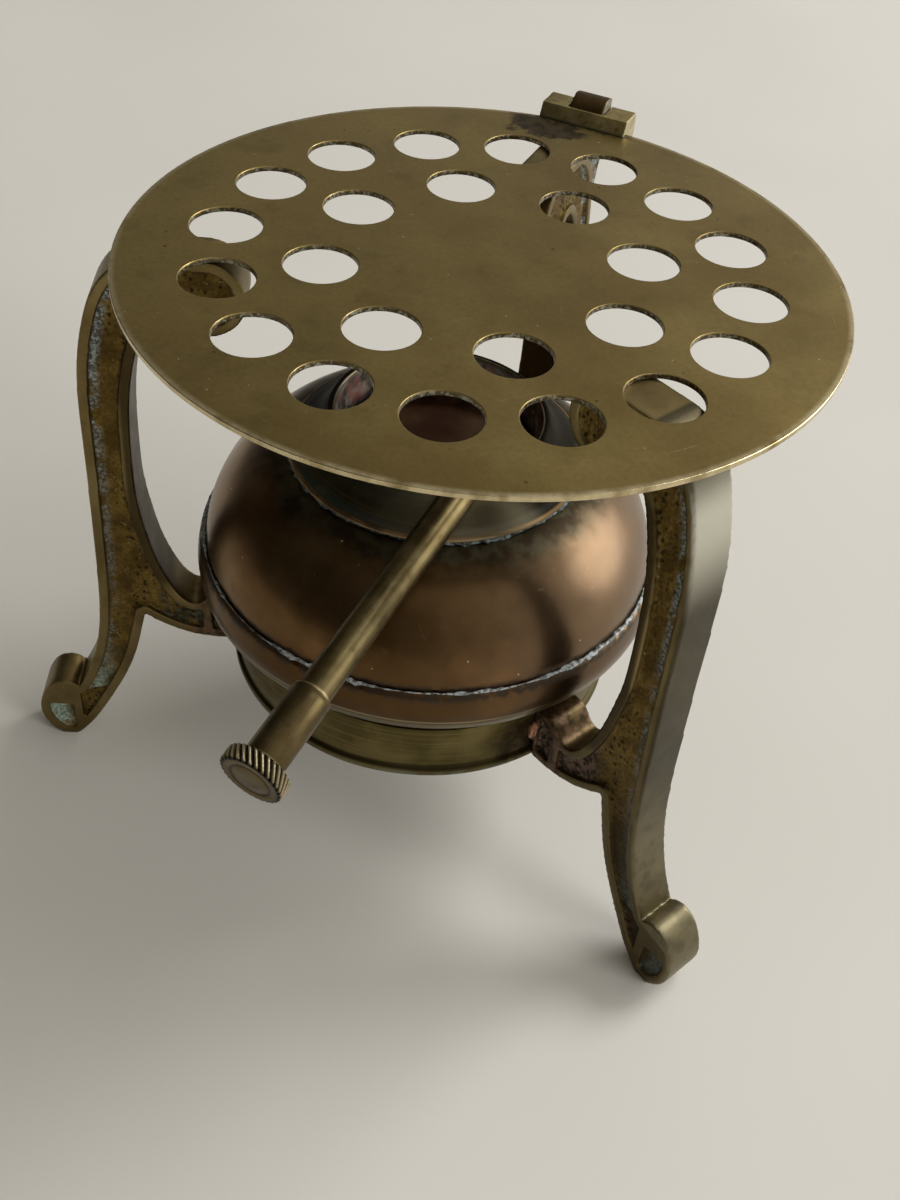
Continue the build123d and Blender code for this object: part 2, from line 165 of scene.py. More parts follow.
class Wire:
    # One shader socket, so that sums can be written as Python.
    def __init__(self, tree, socket):
        self.tree = tree
        self.socket = socket

    def node(self, kind, settings=None, sockets=None, out=0):
        made = self.tree.nodes.new(kind)
        for name, value in (settings or {}).items():
            setattr(made, name, value)
        for name, value in (sockets or {}).items():
            if isinstance(value, Wire):
                self.tree.links.new(value.socket, made.inputs[name])
            else:
                made.inputs[name].default_value = value
        return Wire(self.tree, made.outputs[out])

    def maths(self, operation, first, second=0.0):
        return self.node("ShaderNodeMath", {"operation": operation}, {0: first, 1: second})

    def __add__(self, other):
        return self.maths("ADD", self, other)

    __radd__ = __add__

    def __sub__(self, other):
        return self.maths("SUBTRACT", self, other)

    def __rsub__(self, other):
        return self.maths("SUBTRACT", other, self)

    def __mul__(self, other):
        return self.maths("MULTIPLY", self, other)

    def root(self):
        return self.maths("SQRT", self)

    def size(self):
        return self.maths("ABSOLUTE", self)

    def between(self, low, high):
        # 0 up to low, 1 from high, smooth between; low may be the larger.
        return self.node(
            "ShaderNodeMapRange", {"interpolation_type": "SMOOTHSTEP"},
            {"Value": self, "From Min": low, "From Max": high},
        )

    def most(self, other):
        return self.maths("MAXIMUM", self, other)

    def mix(self, share, first, second):
        values = [value if isinstance(value, Wire) else (*value, 1.0) for value in (first, second)]
        return self.node("ShaderNodeMix", {"data_type": "RGBA"}, {0: share, 6: values[0], 7: values[1]}, 2)


class Finish(Wire):
    # A new material, with the position in mm and the patterns that the finishes share.
    def __init__(self, name):
        self.material = bpy.data.materials.new(name)
        self.material.use_nodes = True
        tree = self.material.node_tree
        tree.nodes.clear()
        super().__init__(tree, None)
        coordinates = self.node("ShaderNodeTexCoord", out=3)
        self.setPlace(
            self.node("ShaderNodeVectorMath", {"operation": "SCALE"}, {0: coordinates, "Scale": 1 / mm})
        )

    def setPlace(self, place):
        self.place = place
        self.x, self.y, self.z = (
            self.node("ShaderNodeSeparateXYZ", None, {0: place}, axis) for axis in range(3)
        )

    def distance(self, centre=(0.0, 0.0)):
        # From the Z axis, or from an axis beside it.
        across = self.x - centre[0]
        along = self.y - centre[1]
        return (across * across + along * along).root()

    def moved(self, centre=(0, 0, 0), turn=(0, 0, 0), stretch=(1, 1, 1)):
        return self.node(
            "ShaderNodeMapping", {"vector_type": "TEXTURE"},
            {"Vector": self.place, "Location": centre, "Rotation": turn, "Scale": stretch},
        )

    def cloud(self, size, detail=3.0, roughness=0.55, place=None):
        # Soft noise, for features of the given size in mm.
        return self.node(
            "ShaderNodeTexNoise", None,
            {"Vector": place or self.place, "Scale": 1.0 / size, "Detail": detail, "Roughness": roughness},
        )

    def cells(self, size, place=None):
        # The distance from the nearest of many scattered points, 0 at the point itself.
        return self.node("ShaderNodeTexVoronoi", None, {"Vector": place or self.place, "Scale": 1.0 / size})

    def streaks(self, stretch, turn=(0, 0, 0)):
        # Noise drawn out along the axes, by so many mm along each.
        return self.cloud(1.0, 2.0, 0.5, self.moved(turn=turn, stretch=stretch))

    def scratches(self, size, length, turn, low, high):
        # Thin marks, long in one direction.
        return self.streaks((length, size, size), turn).between(low, high)

    def near(self, centre, reach, soft=0.5):
        # 1 at a point, falling to 0 at the reach.
        away = self.node("ShaderNodeVectorMath", {"operation": "DISTANCE"}, {0: self.place, 1: centre}, 1)
        return away.between(reach, reach * soft)

    def close(self, colour, roughness, metallic, height, strength, depth, **constants):
        # Ends the material; the height makes its bump, at most depth mm deep.
        relief = {"Strength": strength, "Distance": depth * mm, "Height": height}
        bump = self.node("ShaderNodeBump", None, relief)
        sockets = {"Base Color": colour, "Roughness": roughness, "Metallic": metallic, "Normal": bump}
        for name, value in constants.items():
            sockets[name.replace("_", " ")] = value
        shader = self.node("ShaderNodeBsdfPrincipled", None, sockets)
        out = self.tree.nodes.new("ShaderNodeOutputMaterial")
        self.tree.links.new(shader.socket, out.inputs["Surface"])
        return self.material


def tone(*levels):
    # A colour in the 0 to 255 values of a picture, as the linear values that shaders take.
    return tuple(((v / 255 + 0.055) / 1.055) ** 2.4 if v > 10 else v / 255 / 12.92 for v in levels)


print("stage: finishes")


def plateFinish():
    top = plate["bottom"] + plate["thickness"]
    kit = Finish("plateBrass")
    radius = kit.distance(plate["centre"])
    colour = kit.mix(kit.cloud(34, 4).between(0.36, 0.66), tone(131, 112, 66), tone(150, 132, 82))
    # Painted light: the left part of the plate is painted paler, as if more light fell there.
    paintedLightLeft = (kit.x - plate["centre"][0]).between(-4, -48)
    colour = kit.mix(paintedLightLeft * 0.55, colour, tone(178, 156, 98))
    colour = kit.mix(kit.cloud(7, 4).between(0.52, 0.75) * 0.3, colour, tone(104, 86, 48))
    brushed = kit.cloud(1.0, 3.0, 0.6, kit.moved(turn=(0, 0, 0.5), stretch=(16, 0.5, 1)))
    colour = kit.mix(brushed.between(0.45, 0.8) * 0.06, colour, tone(160, 141, 96))
    marks = kit.scratches(0.16, 14, (0, 0, 0.9), 0.70, 0.76)
    marks = marks.most(kit.scratches(0.14, 10, (0, 0, -0.35), 0.71, 0.77))
    marks = marks.most(kit.scratches(0.12, 8, (0, 0, 2.0), 0.72, 0.78))
    colour = kit.mix(marks * 0.28, colour, tone(196, 180, 140))
    specks = kit.cells(2.6).between(0.085, 0.04) * kit.cloud(5).between(0.5, 0.6)
    colour = kit.mix(specks * 0.75, colour, tone(214, 202, 170))
    spots = kit.cells(4.1, kit.moved(centre=(3, 7, 1))).between(0.1, 0.04) * kit.cloud(9).between(0.5, 0.6)
    colour = kit.mix(spots * 0.7, colour, tone(58, 44, 24))
    # The rim is a polished edge, and it is also painted pale along its length as a painted edge highlight.
    rim = radius.between(plate["radius"] - 1.3, plate["radius"] - 0.1)
    colour = kit.mix(rim * kit.cloud(6).between(0.25, 0.55) * 0.9, colour, tone(226, 210, 170))
    holed = radius.between(60.5, 59.5)
    wall = kit.z.between(top - 0.10, top - 0.3) * holed
    crust = kit.cloud(0.7, 3).between(0.46, 0.64)
    # The hole walls: a mottled crust, also painted dark as painted shade inside the holes.
    wallCrustAndShade = kit.mix(crust, tone(40, 33, 22), tone(88, 85, 70))
    colour = kit.mix(wall * 0.85, colour, wallCrustAndShade)
    edge = kit.z.between(top - 0.01, top - 0.08) * holed
    colour = kit.mix(edge * crust * 0.45, colour, tone(184, 180, 162))
    stainPlace = kit.moved(centre=(-4.6, 58.8, top), turn=(0, 0, 0.1), stretch=(9.4, 5.2, 4))
    stain = kit.node("ShaderNodeVectorMath", {"operation": "LENGTH"}, {0: stainPlace}, 1)
    stain = (stain + (kit.cloud(4.5, 4) - 0.5) * 2.2).between(1.15, 0.75)
    flecks = kit.cloud(1.8, 4).between(0.38, 0.62)
    colour = kit.mix(stain * 0.94, colour, kit.mix(flecks, tone(26, 22, 17), tone(66, 54, 38)))
    # Painted shadow: a near-black band on the plate in front of the hinge bar.
    foot = (kit.y + (kit.cloud(1.4, 3) - 0.5) * 1.6).between(61.6, 62.6) * kit.x.size().between(11.5, 9.5)
    colour = kit.mix(foot * 0.85, colour, tone(22, 24, 18))
    fine = kit.cloud(0.9, 4).between(0.35, 0.7)
    colour = kit.mix(fine * 0.16, colour, tone(92, 76, 40))
    rough = 0.38 + (kit.cloud(18, 4) - 0.5) * 0.22 + marks * 0.1 + stain * 0.2 + specks * 0.1 - rim * 0.12
    height = brushed * 0.03 + marks * 0.2 - specks * 0.5 + kit.cloud(0.35, 2) * 0.2 + crust * wall
    return kit.close(colour, rough, 1.0 - stain * 0.15 - wall * 0.4, height, 0.35, 0.08)


def hingeFinish():
    kit = Finish("hingeBrass")
    colour = kit.mix(kit.cloud(5, 3).between(0.35, 0.65), tone(146, 130, 82), tone(176, 160, 110))
    marks = kit.scratches(0.12, 5, (0, 0, 0.2), 0.66, 0.74)
    colour = kit.mix(marks * 0.6, colour, tone(206, 192, 150))
    # Painted shade: the bar's lower edge, next to the plate, is painted dark and made less metallic.
    low = kit.z.between(124.2, 123.5) * kit.y.between(64.0, 62.9)
    colour = kit.mix(low * 0.8, colour, tone(40, 40, 28))
    grime = kit.cloud(1.1, 3).between(0.54, 0.7)
    colour = kit.mix(grime * 0.5, colour, tone(66, 56, 34))
    end = kit.x.between(8.7, 9.05)
    colour = kit.mix(end * 0.7, colour, tone(196, 186, 150))
    height = kit.cloud(0.4, 2) * 0.4 - marks * 0.4 - grime * 0.2
    rough = 0.38 + grime * 0.25 + (kit.cloud(3) - 0.5) * 0.2
    return kit.close(colour, rough, 1.0 - low * 0.5, height, 0.4, 0.08)


def legFinish(name, lug):
    # Reads what makeLeg gives each point: panel is 1 on the sunk sides, crease is above 0 in hollows and
    # below 0 on edges, and outward is the way in from the leg's outer face, in mm.
    kit = Finish(name)
    panel, crease, outward = (
        kit.node("ShaderNodeAttribute", {"attribute_name": given}, None, 2)
        for given in ("panel", "crease", "outward")
    )
    colour = kit.mix(kit.cloud(14, 4).between(0.35, 0.65), tone(110, 94, 58), tone(134, 118, 78))
    colour = kit.mix(kit.cloud(3, 4).between(0.55, 0.72) * 0.4, colour, tone(96, 80, 50))
    marks = kit.scratches(0.16, 6, (0, 1.4, 0.4), 0.66, 0.75)
    colour = kit.mix(marks * 0.4, colour, tone(170, 160, 124))
    right = kit.x.between(0, 20)
    # Painted shade: the right leg's outer face is darkened below about 60 mm.
    below = right * kit.z.between(62, 34) * outward.between(0.3, 1.4)
    colour = kit.mix(below * 0.6, colour, tone(58, 50, 34))
    face = outward.between(1.1, 0.2) * (1.0 - panel) * right
    # Painted reflection and shade: the right leg's outer face is painted grey, dark low down and pale higher
    # up.
    faceShadeToReflection = kit.mix(kit.z.between(56, 26), tone(50, 49, 43), tone(126, 120, 98))
    colour = kit.mix(face * 0.75, colour, faceShadeToReflection)
    colour = kit.mix(face * kit.cloud(5, 4).between(0.45, 0.65) * 0.5, colour, tone(78, 71, 52))
    # Painted highlight: near-white on the top of the right leg's outer face.
    faceTopHighlight = face * kit.z.between(90, 108) * kit.z.between(118, 110)
    colour = kit.mix(faceTopHighlight * 0.75, colour, tone(226, 224, 208))
    # Painted shade: the leg's inner edge, facing the tank, is darkened.
    inside = outward.between(6.9, 7.9) * kit.z.between(46, 50) * kit.z.between(112, 106) * (1.0 - panel)
    colour = kit.mix(inside * 0.85, colour, tone(62, 50, 30))
    scorch = outward.between(16.5, 23.0) * kit.z.between(58, 52) * kit.cloud(4, 3).between(0.3, 0.5)
    scorchColour = kit.mix(kit.cloud(1.6, 3).between(0.4, 0.6), tone(52, 40, 30), tone(108, 84, 70))
    colour = kit.mix(scorch * 0.8, colour, scorchColour)
    shine = crease.between(-0.10, -0.45)
    colour = kit.mix(shine * 0.6, colour, tone(176, 164, 122))
    inward = outward.between(6.0, 7.4)
    grain = kit.cloud(0.55, 3).between(0.35, 0.65)
    pitted = kit.mix(kit.cloud(5, 4).between(0.35, 0.65), tone(96, 77, 37), tone(138, 114, 60))
    pitted = kit.mix(grain * 0.45, pitted, tone(62, 50, 26))
    crowd = (kit.cloud(5, 3) * 1.3 + inward * 0.35 + kit.z.between(85, 118) * 0.2).between(0.55, 0.95)
    dots = kit.cells(1.15, kit.moved(stretch=(1, 1, 1.25))).between(0.42, 0.2) * crowd
    pitted = kit.mix(dots * 0.85, pitted, tone(44, 38, 24))
    flakes = kit.cells(0.8, kit.moved(centre=(4, 2, 9))).between(0.3, 0.15)
    flakes = flakes * kit.cloud(2.6, 2).between(0.55, 0.65)
    pitted = kit.mix(flakes * 0.7, pitted, tone(168, 160, 136))
    greens = kit.mix(kit.cloud(0.6, 4).between(0.42, 0.6), tone(70, 78, 76), tone(172, 182, 182))
    stripe = outward.between(4.3, 2.7) * kit.cloud(4, 3).between(0.36, 0.52)
    stripe = stripe * (0.45 + kit.z.between(60, 100) * 0.55)
    pitted = kit.mix(stripe * 0.8, pitted, greens)
    low = kit.z.between(30, 12) * outward.between(7.0, 4.5)
    teal = kit.mix(kit.cloud(0.7, 3).between(0.4, 0.6), tone(112, 136, 122), tone(176, 194, 178))
    pitted = kit.mix(low * kit.cloud(3.2, 3).between(0.36, 0.5) * 0.85, pitted, teal)
    arm = kit.mix(kit.cloud(1.1, 4).between(0.42, 0.6), tone(38, 40, 32), tone(92, 96, 82))
    armPart = outward.between(11.0, 14.0) * kit.z.between(56, 50)
    pitted = kit.mix(armPart * kit.cloud(3, 3).between(0.38, 0.52) * 0.8, pitted, arm)
    # Painted shade: the right leg's sunk side is darkened below about 56 mm.
    pitted = kit.mix(right * kit.z.between(56, 28) * 0.75, pitted, tone(46, 40, 28))
    scorched = kit.mix(kit.cloud(1.1, 4).between(0.42, 0.6), tone(46, 37, 31), tone(124, 102, 90))
    rightArm = right * outward.between(9.5, 14.0) * kit.z.between(62, 54)
    pitted = kit.mix(rightArm * 0.8, pitted, scorched)
    colour = kit.mix(panel, colour, pitted)
    dirt = crease.between(0.10, 0.45) * kit.cloud(1.6, 3).between(0.3, 0.6)
    colour = kit.mix(dirt * 0.75, colour, tone(38, 34, 20))
    foot = kit.z.between(9, 2) * (1.0 - panel)
    colour = kit.mix(foot * 0.3, colour, tone(84, 66, 36))
    if lug:
        eye = kit.z.between(121.5, 123.5) * kit.y.between(62.5, 64.0)
        eyeColour = kit.mix(kit.cloud(1.5, 3), tone(52, 36, 18), tone(92, 70, 42))
        colour = kit.mix(eye * 0.8, colour, eyeColour)
        side = kit.x.between(3.1, 3.5) * eye
        colour = kit.mix(side * 0.5, colour, tone(140, 134, 116))
    rough = 0.42 + panel * 0.16 + dirt * 0.2 + (kit.cloud(4) - 0.5) * 0.2 - shine * 0.06
    height = kit.cloud(0.35, 3) * (0.15 + panel * 0.7) - marks * 0.3
    height = height - dots * panel * 1.2 + flakes * panel * 0.5
    metallic = 1.0 - (panel * stripe.most(low) * 0.6).most(dirt * 0.6)
    return kit.close(colour, rough, metallic, height, 0.5, 0.14)


def ringFinish():
    kit = Finish("ringBrass")
    colour = kit.mix(kit.cloud(11, 4).between(0.35, 0.65), tone(82, 72, 42), tone(112, 100, 62))
    lines = kit.streaks((30, 30, 0.35))
    colour = kit.mix(lines.between(0.45, 0.75) * 0.3, colour, tone(138, 124, 84))
    burnt = kit.near((34.0, -19.5, 38.0), 12.0)
    burnt = burnt.most(kit.near((0, 39.2, 38), 11.0)).most(kit.near((-35, -17, 38), 10.0))
    burnt = burnt * kit.cloud(3, 3).between(0.3, 0.6)
    colour = kit.mix(burnt * 0.8, colour, tone(46, 34, 22))
    fold = kit.z.between(36.3, 35.2) * kit.z.between(34.3, 35.2)
    colour = kit.mix(fold * 0.8, colour, tone(36, 32, 20))
    low = kit.z.between(35.0, 33.6) * kit.cloud(3, 3).between(0.45, 0.6)
    colour = kit.mix(low * 0.6, colour, tone(98, 116, 110))
    height = lines * 0.4 + kit.cloud(0.6, 2) * 0.3
    rough = 0.40 + burnt * 0.2 + (kit.cloud(5) - 0.5) * 0.2
    return kit.close(colour, rough, 1.0 - low * 0.5, height, 0.35, 0.08)


def copperFinish():
    kit = Finish("tankCopper")
    colour = kit.mix(kit.cloud(24, 4).between(0.36, 0.64), tone(102, 76, 46), tone(130, 104, 72))
    colour = kit.mix(kit.cloud(9, 5).between(0.5, 0.72) * 0.5, colour, tone(88, 62, 28))
    # Painted highlight: the tank is painted paler towards its right side.
    colour = kit.mix(kit.x.between(16, 36) * 0.45, colour, tone(140, 120, 100))
    # Painted reflection: a darker brown patch on the front right of the dome stands in for a dark reflection.
    colour = kit.mix(kit.near((13, -38, 71), 31, 0.2) * 0.6, colour, tone(76, 55, 34))
    colour = kit.mix(kit.cloud(14, 3).between(0.5, 0.75) * 0.5, colour, tone(142, 106, 70))
    marks = kit.scratches(0.14, 9, (0.4, 0.2, 0.7), 0.70, 0.77)
    marks = marks.most(kit.scratches(0.12, 7, (0.2, 0.9, -0.5), 0.71, 0.78))
    colour = kit.mix(marks * 0.4, colour, tone(186, 150, 112))
    top = (kit.distance() + (kit.cloud(7, 3) - 0.5) * 7.0).between(36.5, 30.5) * kit.z.between(76, 82)
    topColour = kit.mix(kit.cloud(4, 3).between(0.4, 0.6), tone(34, 32, 22), tone(66, 66, 52))
    colour = kit.mix(top * 0.85, colour, topColour)
    # Painted shade: the shell below the seam is darkened.
    shadeBelowSeam = kit.z.between(tank["seam"] + 0.4, tank["seam"] - 0.4)
    colour = kit.mix(shadeBelowSeam * 0.5, colour, tone(70, 50, 28))
    grey = kit.z.between(tank["band"] + 0.4, tank["band"] - 0.4)
    lines = kit.streaks((60, 60, 0.3))
    under = kit.mix(lines.between(0.4, 0.7), tone(84, 74, 50), tone(134, 122, 92))
    colour = kit.mix(grey * 0.85, colour, under)
    # Painted highlight: a thin pale line along the edge of the grey band.
    line = (kit.z - tank["band"]).size().between(0.35, 0.1)
    colour = kit.mix(line * 0.6, colour, tone(176, 158, 122))
    seam = (kit.z - tank["seam"]).size().between(2.0, 0.5) * kit.cloud(2.0, 3).between(0.36, 0.56)
    colour = kit.mix(seam * 0.8, colour, tone(44, 36, 26))
    specks = kit.cells(3.4).between(0.07, 0.03) * kit.cloud(7).between(0.52, 0.6)
    colour = kit.mix(specks * 0.8, colour, tone(206, 200, 186))
    rough = 0.30 + (kit.cloud(14, 4) - 0.5) * 0.18 + top * 0.2 + seam * 0.2 + specks * 0.2
    height = kit.cloud(1.2, 3) * 0.3 + marks * 0.3 + lines * grey * 0.8 + kit.cloud(9, 2) * 1.5
    return kit.close(colour, rough, 1.0 - seam * 0.4 - specks * 0.6, height, 0.3, 0.12)


def coneFinish():
    edge, rim, deck = burner["lip"], burner["rimHeight"], burner["deck"] + burner["sheet"]
    kit = Finish("coneBrass")
    radius = kit.distance()
    colour = kit.mix(kit.cloud(12, 4).between(0.35, 0.65), tone(56, 53, 42), tone(86, 83, 68))
    lines = kit.streaks((40, 40, 0.35))
    colour = kit.mix(lines.between(0.45, 0.75) * 0.4, colour, tone(116, 108, 80))
    lip = radius.between(edge - 0.9, edge - 0.3) * kit.cloud(8, 3).between(0.25, 0.5)
    colour = kit.mix(lip * 0.8, colour, tone(176, 142, 100))
    crease = (kit.z - deck - 0.3).size().between(0.9, 0.2) * radius.between(edge - 0.4, edge - 1.2)
    colour = kit.mix(crease * kit.cloud(2, 3).between(0.35, 0.55) * 0.8, colour, tone(50, 62, 58))
    burnt = kit.z.between(rim - 2.2, rim - 0.3) * kit.cloud(5, 3).between(0.35, 0.6)
    colour = kit.mix(burnt * 0.6, colour, tone(74, 46, 32))
    # Painted shade: the back of the cone, under the plate, is painted near black and made rougher.
    shadedBack = kit.y.between(-16, -8)
    colour = kit.mix(shadedBack * (1.0 - lip * 0.7) * 0.9, colour, tone(30, 25, 15))
    # Painted light: the front right of the cone is painted paler.
    colour = kit.mix(kit.x.between(-2, 14) * (1.0 - shadedBack) * 0.5, colour, tone(140, 130, 104))
    rough = 0.38 + (kit.cloud(9, 4) - 0.5) * 0.22 + burnt * 0.1 + shadedBack * 0.35
    height = lines * 0.4 + kit.cloud(0.8, 2) * 0.3
    return kit.close(colour, rough, 1.0 - crease * 0.4, height, 0.35, 0.08)


def cupFinish():
    kit = Finish("cupBrass")
    rim = kit.z.between(91.2, 92.1)
    colour = kit.mix(kit.cloud(3.2, 4).between(0.38, 0.62), tone(92, 84, 76), tone(168, 164, 158))
    colour = kit.mix(kit.cloud(4.6, 3).between(0.5, 0.65) * 0.8, colour, tone(168, 122, 112))
    colour = kit.mix(kit.cloud(2.1, 3).between(0.56, 0.68) * 0.6, colour, tone(196, 190, 168))
    colour = kit.mix(rim * 0.75, colour, tone(120, 108, 84))
    return kit.close(colour, 0.34, 1.0 - (1.0 - rim) * 0.2, kit.cloud(0.9, 3), 0.3, 0.08)


def discFinish():
    kit = Finish("discBrass")
    colour = kit.mix(kit.cloud(7, 4).between(0.35, 0.65), tone(84, 56, 40), tone(112, 82, 62))
    colour = kit.mix(kit.cloud(1.3, 4).between(0.55, 0.72) * 0.3, colour, tone(84, 56, 42))
    # Painted highlight: the disc is painted pale pink towards its right side.
    right = (kit.x + kit.y * 0.4).between(4, 14)
    colour = kit.mix(right * 0.6, colour, tone(206, 172, 152))
    rough = 0.24 + (kit.cloud(3, 4) - 0.5) * 0.12
    return kit.close(colour, rough, 1.0, kit.cloud(0.9, 3), 0.2, 0.05)


def handleFinish():
    # The tube's marks run along it, so the place is turned into the handle's own frame.
    kit = Finish("handleBrass")
    kit.setPlace(kit.moved(centre=tuple(handleOrigin), turn=handleTurn))
    along = kit.z
    radius = kit.distance()
    colour = kit.mix(kit.cloud(6, 4).between(0.35, 0.65), tone(104, 90, 58), tone(132, 118, 82))
    drawn = kit.streaks((0.28, 0.28, 9))
    colour = kit.mix(drawn.between(0.45, 0.78) * 0.2, colour, tone(160, 144, 104))
    grime = kit.cloud(2.6, 4).between(0.56, 0.75)
    colour = kit.mix(grime * 0.35, colour, tone(80, 62, 34))
    colour = kit.mix(along.between(62, 66) * 0.5, colour, tone(76, 62, 40))
    edge = (along - tube["ferruleStart"]).size().between(0.5, 0.15)
    edge = edge.most((along - tube["ferruleEnd"] + 0.1).size().between(0.5, 0.1))
    colour = kit.mix(edge * 0.7, colour, tone(206, 188, 142))
    onKnob = along.between(knob["start"] - 0.1, knob["start"] + 0.1)
    valley = onKnob * radius.between(5.36, 5.2) * radius.between(4.7, 4.85)
    colour = kit.mix(valley * 0.95, colour, tone(20, 22, 24))
    tips = radius.between(5.38, 5.55) * onKnob
    colour = kit.mix(tips * 0.8, colour, tone(198, 186, 154))
    groove = (radius - knob["groove"]).size().between(0.4, 0.15)
    groove = groove * along.between(knob["end"] - 0.4, knob["end"] - 0.2)
    colour = kit.mix(groove * 0.7, colour, tone(44, 38, 26))
    rough = 0.36 + grime * 0.2 + (kit.cloud(3) - 0.5) * 0.15
    height = drawn * 0.15 + kit.cloud(0.5, 2) * 0.2 - grime * 0.15
    return kit.close(colour, rough, 1.0, height, 0.35, 0.08)


def turnedFinish():
    kit = Finish("turnedBrass")
    colour = kit.mix(kit.cloud(5, 4).between(0.35, 0.65), tone(120, 104, 64), tone(158, 140, 94))
    lines = kit.streaks((20, 20, 0.25))
    colour = kit.mix(lines.between(0.45, 0.75) * 0.4, colour, tone(176, 158, 112))
    return kit.close(colour, 0.36 + (kit.cloud(3) - 0.5) * 0.2, 1.0, lines, 0.3, 0.06)


def steelFinish():
    kit = Finish("spindleSteel")
    colour = kit.mix(kit.cloud(3, 4).between(0.4, 0.7), tone(120, 118, 112), tone(96, 80, 64))
    return kit.close(colour, 0.36 + (kit.cloud(2) - 0.5) * 0.2, 1.0, kit.cloud(0.4, 2), 0.25, 0.05)


def gasketFinish():
    kit = Finish("gasketLeather")
    colour = kit.mix(kit.cloud(2, 4).between(0.35, 0.65), tone(40, 32, 24), tone(70, 56, 42))
    return kit.close(colour, 0.8, 0.0, kit.cells(0.5), 0.5, 0.1)


def cottonFinish():
    kit = Finish("wickCotton")
    twist = kit.streaks((0.7, 0.7, 5), (0, 0.35, 0))
    colour = kit.mix(twist.between(0.35, 0.65), tone(170, 158, 132), tone(214, 206, 186))
    burnt = kit.z.between(82, 84.5)
    colour = kit.mix(burnt * 0.85, colour, tone(44, 34, 28))
    return kit.close(colour, 0.95, 0.0, twist, 0.8, 0.3)


def crustFinish(name, dark, pale):
    kit = Finish(name)
    colour = kit.mix(kit.cloud(0.8, 4).between(0.36, 0.62), tone(*dark), tone(*pale))
    colour = kit.mix(kit.cloud(3.5, 3).between(0.55, 0.7) * 0.7, colour, tone(54, 48, 38))
    return kit.close(colour, 0.85, 0.1, kit.cloud(0.45, 4), 0.8, 0.2)


def brazeFinish():
    kit = Finish("brazeCopper")
    colour = kit.mix(kit.cloud(2, 4).between(0.35, 0.65), tone(150, 104, 80), tone(196, 152, 126))
    colour = kit.mix(kit.cloud(1.2, 3).between(0.55, 0.7) * 0.7, colour, tone(64, 46, 34))
    return kit.close(colour, 0.42, 1.0, kit.cloud(0.6, 3), 0.5, 0.15)


def floorFinish():
    kit = Finish("paleFloor")
    colour = kit.mix(kit.cloud(160, 2).between(0.3, 0.7), *studio["floorTones"])
    return kit.close(colour, 0.6, 0.0, kit.cloud(0.8, 2), 0.05, 0.05, Specular_IOR_Level=0.15)


print("stage: handle frame")
handle = {"turn": -94.0, "slope": 10.0, "offset": 13.63, "height": 92.6}


def handleMatrix():
    # Columns: across, up and along, as in the CAD; along points to the knob.
    turn = math.radians(handle["turn"])
    slope = math.radians(handle["slope"])
    along = Vector((math.cos(slope) * math.cos(turn), math.cos(slope) * math.sin(turn), -math.sin(slope)))
    across = Vector((-math.sin(turn), math.cos(turn), 0))
    made = Matrix((across, along.cross(across), along)).transposed().to_4x4()
    made.translation = Vector((handle["offset"] * across.x, handle["offset"] * across.y, handle["height"]))
    return made


handlePlace = handleMatrix()
handleOrigin = handlePlace.translation
handleTurn = handlePlace.to_euler()


def toHandle(piece):
    # The piece was made along Z; it goes onto the handle's axis.
    placed = handlePlace.copy()
    placed.translation = handleOrigin * mm
    piece.matrix_world = placed


def onCurve(before, first, second, after, share):
    # Goes smoothly from the first value to the second as the share goes from 0 to 1.
    slope = second - before
    squared = 2 * before - 5 * first + 4 * second - after
    cubed = 3 * first - before - 3 * second + after
    return 0.5 * (2 * first + slope * share + squared * share * share + cubed * share ** 3)


def throughPoints(points, steps=6):
    # A smooth line through the points, for profiles.
    made = []
    ends = [points[0], *points, points[-1]]
    for corners in zip(ends, ends[1:], ends[2:], ends[3:]):
        for step in range(steps):
            made.append(tuple(onCurve(*values, step / steps) for values in zip(*corners)))
    return made + [points[-1]]


def hollowness(piece, rounds):
    # Above 0 in creases and below 0 on edges, from how far a point lies from the mean of its neighbours.
    points = readPoints(piece)
    normals = readVectors(piece, "normal")
    edges = np.zeros(len(piece.data.edges) * 2, np.int32)
    piece.data.edges.foreach_get("vertices", edges)
    start, end = edges.reshape(-1, 2).T
    count = np.bincount(start, minlength=len(points)) + np.bincount(end, minlength=len(points))
    mean = points.copy()
    for _ in range(rounds):
        total = np.zeros_like(mean)
        for axis in range(3):
            total[:, axis] = np.bincount(start, mean[end, axis], len(points)) + np.bincount(
                end, mean[start, axis], len(points)
            )
        mean = total / np.maximum(count, 1)[:, None]
    return ((mean - points) * normals).sum(1)


print("stage: legs")
leg = {
    "turns": {"back_leg": 90.0, "left_leg": 205.4, "right_leg": 335.4},
    "thickness": 9.0,
    "panelDepth": 0.9,
    "voxel": 0.3,
    "rounding": 7,
    "pitSize": 0.9,
    "pitDepth": 0.16,
    "grainDepth": 0.06,
    "wear": 0.015,
    # The leg's outer face: how far out it stands at each height.
    "outerFace": [
        (0, 80), (3.7, 83), (8.6, 83.9), (13.4, 82.6), (15.6, 75.0), (23.0, 71.2), (32.0, 68.7), (42.0, 67.4),
        (53.0, 66.8), (65.0, 66.4), (76.0, 66.1), (86.0, 65.9), (95.0, 65.6), (103.5, 64.6), (110.9, 62.8),
        (116.3, 60.6), (119.8, 57.8), (121.8, 54.9), (122.5, 52.0),
    ],
}


